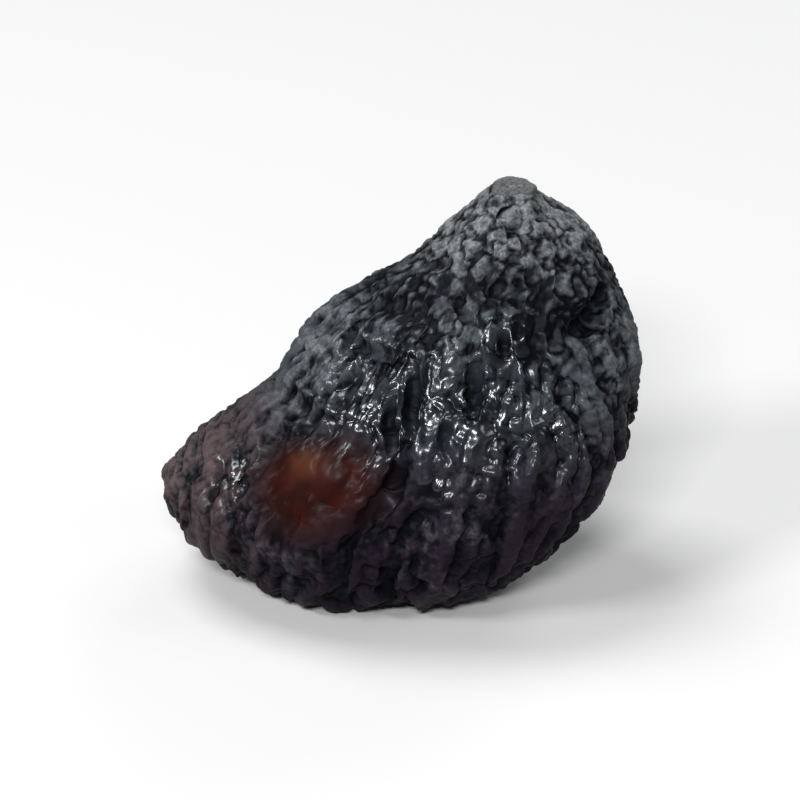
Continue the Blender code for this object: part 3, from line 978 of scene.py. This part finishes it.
def stem_end_points(directions):
    """A flat round chip with a wavy edge, a hollow face, fibres and one crack."""
    x, y, z = directions.T
    angle = np.arctan2(y, x)
    edge = 1 + EDGE_WAVE * np.cos(3 * angle + 1.0) + EDGE_RIPPLE * np.cos(7 * angle)
    out = np.hypot(x, y) ** 0.8
    face = np.clip(z, 0, 1) ** 0.5
    crack = bell(np.abs(y + 0.35 * x + 0.10), CRACK_WIDTH) * bell(x - 0.1, CRACK_LENGTH)
    fibre = np.cos(FIBRES * angle + 2 * np.sin(5 * angle)) * out * (1 - out**6)
    hollow = FACE_HOLLOW * bell(out, FACE_HOLLOW_WIDTH) + CRACK_DEPTH * crack - FIBRE_HEIGHT * fibre
    height = np.sign(z) * np.abs(z) ** 0.5 - face * hollow
    radius = STEM_END_RADIUS * edge * out
    x, y = radius * np.cos(angle), radius * np.sin(angle)
    return np.column_stack([x, y, STEM_END_HALF_HEIGHT * height])


def stem_material():
    material, shader = new_material("dry stem end", STEM_ROUGHNESS)
    tree = material.node_tree
    place = add(tree, "ShaderNodeTexCoord", output="Object")
    fibre = noise(place, 1 / FIBRE_SIZE, 3.0)
    # The share named crack is painted dark as shade where the chip lies low.
    low = surface_share(tree, "crack")
    base = mixed(ramp(fibre, *FIBRE_SPREAD), STEM_DARK_COLOUR, STEM_COLOUR)
    tree.links.new(mixed(low, base, STEM_DARK_COLOUR), shader.inputs["Base Color"])
    bumps = (("Height", fibre), ("Distance", FIBRE_BUMP))
    tree.links.new(add(tree, "ShaderNodeBump", bumps), shader.inputs["Normal"])
    return material


def finished_piece(name, mesh):
    piece = linked(name, mesh)
    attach(piece, "root")
    return piece


stem_mesh = ball_mesh(STEM_END_CELLS)
chip = stem_end_points(coordinates(stem_mesh))
# 1 where the chip lies below its middle, in its crack and on its lower side: there it gets painted shade.
keep(stem_mesh, "crack", "FLOAT", np.clip(-chip[:, 2] / (0.5 * STEM_END_HALF_HEIGHT), 0, 1))
turned = chip @ np.array(Matrix.Rotation(STEM_END_TILT, 3, "X")).T
set_coordinates(stem_mesh, turned + point_at(STEM) - BOX_MIDDLE + (0, 0, STEM_END_RISE))
stem_mesh.name = "stem_end"
stem_mesh.materials.append(stem_material())
stem_mesh.shade_smooth()
finished_piece("stem_end", stem_mesh)
print("stem end is", 2 * STEM_END_RADIUS / MM, "mm wide")

# %% [markdown]
# ## The eye
# At the other end a fig has an eye, the hole that its wasps went in by. Small scales close it in rings and
# dry hard, and a few seeds show between them. Placing each by hand would be slow, so we place one point for
# each scale, dropped onto the skin with a ray so that it really touches, and let Geometry Nodes put a copy
# of one scale on every point. This fig lies on the lower half of its eye, so no copy is put there.

# %% Scales and seeds of the eye
# How many scales or seeds a ring has, its radius, and how large they are beside the rest.
SCALE_RINGS = ((5, 0.45 * MM, 0.9), (7, 0.95 * MM, 1.0), (10, 1.50 * MM, 1.0))
SCALE_SIZE = (0.42 * MM, 0.62 * MM, 0.12 * MM)
SCALE_TIP = 0.8
SCALE_TILT = math.radians(24)
SCALE_RISE = 0.04 * MM
SCALE_JITTER = 0.15
SCALE_COLOUR = (0.060, 0.026, 0.018, 1.0)
SEED_RINGS = ((1, 0.0, 1.0), (4, 0.42 * MM, 1.0))
SEED_SIZE = (0.34 * MM, 0.42 * MM, 0.30 * MM)
SEED_TIP = 0.3
SEED_JITTER = 0.6
SEED_COLOUR = (0.42, 0.22, 0.06, 1.0)
SIZE_SPREAD = (0.85, 1.1)
SMALL_CELLS = 8
SCATTER_SEED = 7
RAY_START = 4.0 * MM
# The eye looks away from a point on the fig's upright middle line, this much higher than the eye.
AXIS_RISE = 1.0 * MM
# Lower than this the fig lies on its eye.
LOWEST_COPY = 0.75 * MM
MOTTLE_SIZE = 0.3 * MM
MOTTLE_SPREAD = (0.35, 0.65)


def scatter_mesh(name, rings, tilt, jitter):
    """One point for each copy, dropped on the skin round the eye, with the turn and size of its copy."""
    side = eye_axis.orthogonal().normalized()
    other = eye_axis.cross(side)
    draw = np.random.default_rng(SCATTER_SEED)
    places, turns, sizes = [], [], []
    for count, radius, size in rings:
        for number in range(count):
            angle = 2 * math.pi * (number + 0.5 * (count % 2)) / count + draw.uniform(-jitter, jitter)
            outward = side * math.cos(angle) + other * math.sin(angle)
            start = eye_centre + eye_axis * RAY_START + outward * radius
            hit = surface.ray_cast(start, -eye_axis)[0]
            if hit.z < LOWEST_COPY:
                continue
            tilted = Matrix.Rotation(tilt, 3, outward.cross(eye_axis)) @ eye_axis
            across = outward.cross(tilted).normalized()
            frame_axes = Matrix((across, tilted.cross(across), tilted)).transposed()
            places.append(hit)
            turns.append(frame_axes.to_euler())
            sizes.append(size * draw.uniform(*SIZE_SPREAD))
    mesh = bpy.data.meshes.new(name)
    mesh.from_pydata(places, [], [])
    keep(mesh, "turn", "FLOAT_VECTOR", np.array([tuple(turn) for turn in turns]))
    keep(mesh, "size", "FLOAT", np.array(sizes))
    return mesh


def copies_tree():
    """Puts a copy of one shape on every point, by its stored turn and size."""
    tree, given = new_geometry_tree("copies on points", {"Shape": "Object", "Rise": "Float"})
    shape = add(tree, "GeometryNodeObjectInfo", (("Object", given["Shape"]),), "Geometry")
    copies = add(tree, "GeometryNodeInstanceOnPoints", (
        ("Points", given["Geometry"]),
        ("Instance", shape),
        ("Rotation", stored(tree, "turn", "FLOAT_VECTOR")),
        ("Scale", stored(tree, "size")),
    ))
    outward = add(tree, "ShaderNodeCombineXYZ", (("Z", given["Rise"]),))
    moves = (("Instances", copies), ("Translation", outward))
    copies = add(tree, "GeometryNodeTranslateInstances", moves)
    finish_tree(tree, copies, given["Material"])
    return tree


def small_ball(name, size, tip):
    """An egg of these half sizes, drawn to a tip along its own y."""
    mesh = ball_mesh(SMALL_CELLS)
    x, y, z = coordinates(mesh).T
    narrow = 1 - tip * np.clip(y, 0, 1) ** 2
    set_coordinates(mesh, np.column_stack([x * narrow * size[0], y * size[1], z * narrow * size[2]]))
    mesh.name = name
    mesh.shade_smooth()
    return bpy.data.objects.new(name, mesh)


def mottled_material(name, colour, roughness, dark):
    """One colour that turns to a darker tone of itself in spots."""
    material, shader = new_material(name, roughness)
    tree = material.node_tree
    place = add(tree, "ShaderNodeTexCoord", output="Object")
    mottle = ramp(noise(place, 1 / MOTTLE_SIZE, 3.0), *MOTTLE_SPREAD)
    darker = tuple(dark * part for part in colour[:3]) + (1.0,)
    tree.links.new(mixed(mottle, darker, colour), shader.inputs["Base Color"])
    return material


def grow_copies(name, shape, points, rise, material):
    made = run_tree(points, COPIES, {"Shape": shape, "Rise": rise, "Material": material})
    made.shade_smooth()
    return finished_piece(name, made)


COPIES = copies_tree()
skin_corners = [Vector(point) for point in skin_points]
skin_faces = [tuple(face.vertices) for face in skin_mesh.polygons]
surface = BVHTree.FromPolygons(skin_corners, skin_faces)
eye_centre = Vector(point_at(EYE) - BOX_MIDDLE)
eye_axis = (eye_centre - Vector((0.0, 0.0, eye_centre.z + AXIS_RISE))).normalized()
scale_points = scatter_mesh("scale points", SCALE_RINGS, SCALE_TILT, SCALE_JITTER)
seed_points = scatter_mesh("seed points", SEED_RINGS, 0.0, SEED_JITTER)
scale_shape = small_ball("scale", SCALE_SIZE, SCALE_TIP)
seed_shape = small_ball("seed", SEED_SIZE, SEED_TIP)
scale_paint = mottled_material("eye scales", SCALE_COLOUR, 0.5, 0.3)
seed_paint = mottled_material("seeds", SEED_COLOUR, 0.3, 0.5)
grow_copies("eye_scales", scale_shape, scale_points, SCALE_RISE, scale_paint)
grow_copies("eye_seeds", seed_shape, seed_points, 0.0, seed_paint)
print("eye at, mm:", [round(v / MM, 1) for v in eye_centre], [round(v, 2) for v in eye_axis])

# %% [markdown]
# ## The floor
# The fig rests on a plain pale floor, a little warmer than the light, so that it looks neutral. It is one
# large square, whose edge must stay out of sight from every side.

# %% Floor
FLOOR_SIZE = 3.0
FLOOR_COLOUR = (0.385, 0.365, 0.352, 1.0)
FLOOR_ROUGHNESS = 0.7


def floor_material():
    material, shader = new_material("pale floor", FLOOR_ROUGHNESS)
    shader.inputs["Base Color"].default_value = FLOOR_COLOUR
    return material


floor_mesh = bpy.data.meshes.new("floor")
sheet = bmesh.new()
bmesh.ops.create_grid(sheet, x_segments=1, y_segments=1, size=FLOOR_SIZE / 2)
sheet.to_mesh(floor_mesh)
sheet.free()
floor_mesh.materials.append(floor_material())
floor = linked("floor", floor_mesh)
print("floor side:", FLOOR_SIZE, "m")

# %% [markdown]
# ## Lamps and sky
# The light is soft studio light. A broad lamp above lights the neck and the shoulders. Two small ones, in
# front and at the left, draw the short bright streaks that show where the skin is glossy. Weaker ones
# behind and at the right, and a faint sky, keep the shaded sides from going black.

# %% Lamps and sky
LAMP_COLOUR = (0.92, 0.97, 1.0)
FIG_MIDDLE = Vector((0.0, 0.0, 0.012))
# Name, place, width and height in metres, and power in watts. Each lamp faces the middle of the fig.
LAMPS = (
    ("top lamp", (-0.15, 0.12, 0.42), (0.26, 0.20), 2.4),
    ("front lamp", (-0.053, -0.375, 0.308), (0.16, 0.055), 3.0),
    ("left lamp", (-0.297, -0.193, 0.289), (0.12, 0.06), 1.8),
    ("back lamp", (0.25, 0.40, 0.22), (0.30, 0.20), 1.4),
    ("right lamp", (0.36, -0.02, 0.24), (0.16, 0.14), 0.4),
)
SKY_COLOUR = (0.90, 0.96, 1.0, 1.0)
SKY_STRENGTH = 0.16


def soft_lamp(name, place, size, power):
    lamp = bpy.data.lights.new(name, "AREA")
    lamp.shape = "RECTANGLE"
    lamp.size, lamp.size_y = size
    lamp.energy = power
    lamp.color = LAMP_COLOUR
    holder = linked(name, lamp)
    holder.location = place
    holder.rotation_euler = (FIG_MIDDLE - Vector(place)).to_track_quat("-Z", "Y").to_euler()
    return holder


lamps = [soft_lamp(*lamp) for lamp in LAMPS]
sky = bpy.data.worlds.new("studio")
sky.use_nodes = True
background = sky.node_tree.nodes["Background"]
background.inputs["Color"].default_value = SKY_COLOUR
background.inputs["Strength"].default_value = SKY_STRENGTH
bpy.context.scene.world = sky
print("lamps:", [lamp.name for lamp in lamps])

# %% [markdown]
# ## The camera
# The camera looks down at the angle of the photograph, from about as far away, with a long lens, so that the
# near and the far side of the fig keep their sizes.

# %% Camera
CAMERA_ELEVATION = math.radians(28.5)
CAMERA_DISTANCE = 0.39
CAMERA_LENS = 262.0
CAMERA_SENSOR = 36.0
CAMERA_NEAREST = 0.01
CAMERA_AIM = Vector((0.0, 0.0, 0.0125))

camera_data = bpy.data.cameras.new("camera")
camera_data.lens = CAMERA_LENS
camera_data.sensor_width = CAMERA_SENSOR
camera_data.clip_start = CAMERA_NEAREST
camera = linked("camera", camera_data)
towards = Vector((0.0, math.cos(CAMERA_ELEVATION), -math.sin(CAMERA_ELEVATION)))
camera.location = CAMERA_AIM - CAMERA_DISTANCE * towards
camera.rotation_euler = towards.to_track_quat("-Z", "Y").to_euler()
bpy.context.scene.camera = camera
bpy.context.scene.view_settings.view_transform = "Standard"
print("camera at", [round(value, 3) for value in camera.location])
